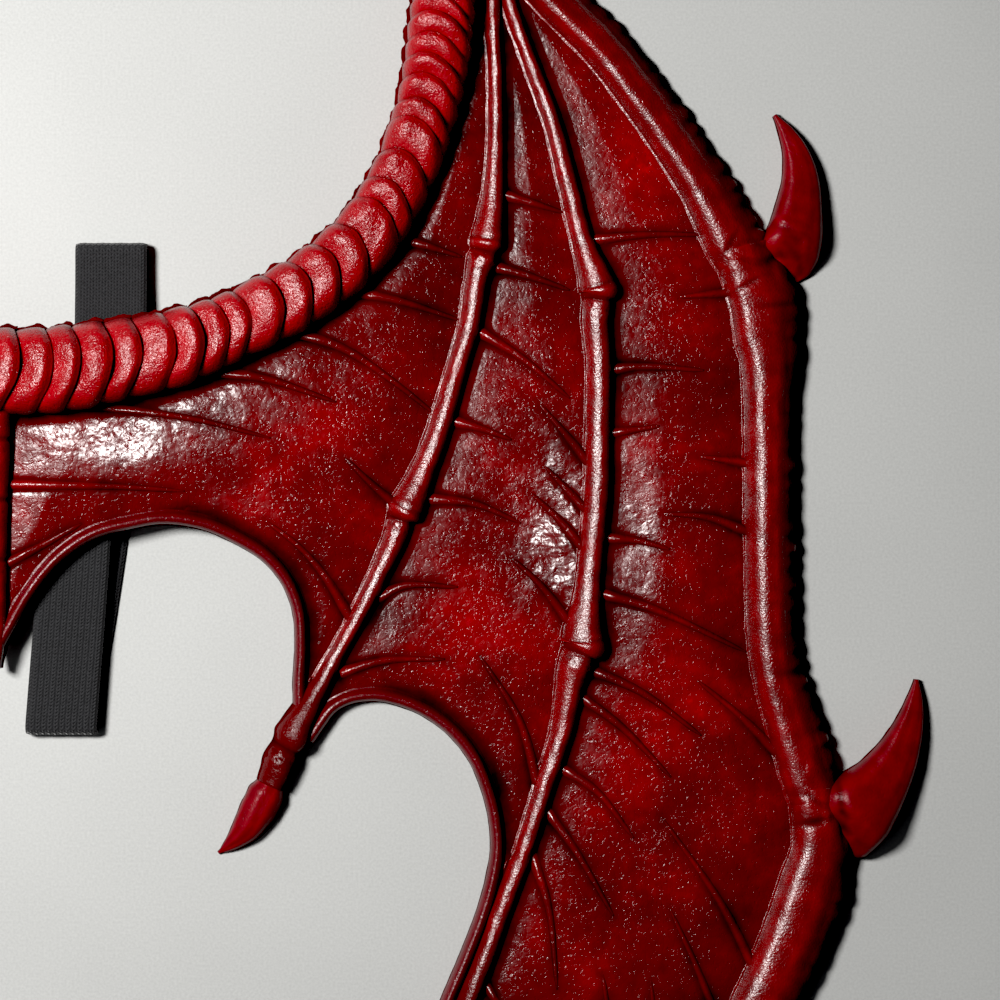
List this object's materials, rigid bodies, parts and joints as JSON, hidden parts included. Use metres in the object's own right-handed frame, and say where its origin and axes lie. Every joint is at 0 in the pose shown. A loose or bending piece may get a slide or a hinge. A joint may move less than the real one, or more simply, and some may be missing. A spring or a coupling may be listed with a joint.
{
  "type": "costume dragon wings",
  "caption": "Pair of moulded red costume dragon wings with scaled arm rolls, ribbed bones, veined membranes, horns, claws and two elastic shoulder straps",
  "frame": {"origin": "on the ground below the middle of the pair as it lies on its flat back", "axes": "+X along the wearer's right wing, +Y up towards the wrists, +Z out of the decorated face"},
  "size_m": [0.6474, 0.4862, 0.0325],
  "materials": {
    "arm_skin": "glossy painted foam skin, bright red with dark grooves",
    "bone_skin": "glossy painted foam skin, red with darker creases",
    "horn_skin": "smooth glossy painted foam skin, crimson",
    "membrane_skin": "glossy leathery painted foam skin, mottled red over dark maroon",
    "hem_skin": "glossy painted foam skin, red with dark creases",
    "elastic": "black knitted elastic webbing"
  },
  "bodies": {
    "root": {"wrist_right": "arm_skin", "wrist_left": "arm_skin", "arm_right": "arm_skin", "arm_left": "arm_skin", "finger_inner_right": "bone_skin", "finger_inner_left": "bone_skin", "finger_middle_right": "bone_skin", "finger_middle_left": "bone_skin", "horn_upper_right": "horn_skin", "horn_upper_left": "horn_skin", "horn_lower_right": "horn_skin", "horn_lower_left": "horn_skin", "leading_bone_upper_right": "bone_skin", "leading_bone_upper_left": "bone_skin", "leading_bone_middle_right": "bone_skin", "leading_bone_middle_left": "bone_skin", "leading_bone_lower_right": "bone_skin", "leading_bone_lower_left": "bone_skin", "claw_inner_right": "horn_skin", "claw_inner_left": "horn_skin", "claw_middle_right": "horn_skin", "claw_middle_left": "horn_skin", "claw_outer_right": "horn_skin", "claw_outer_left": "horn_skin", "hem_inner_right": "hem_skin", "hem_inner_left": "hem_skin", "hem_middle_right": "hem_skin", "hem_middle_left": "hem_skin", "hem_outer_right": "hem_skin", "hem_outer_left": "hem_skin", "membrane_inner_right": "membrane_skin", "membrane_inner_left": "membrane_skin", "membrane_middle_right": "membrane_skin", "membrane_middle_left": "membrane_skin", "membrane_outer_right": "membrane_skin", "membrane_outer_left": "membrane_skin", "strap_right": "elastic", "strap_left": "elastic", "spine": "bone_skin"}
  },
  "joints": []
}
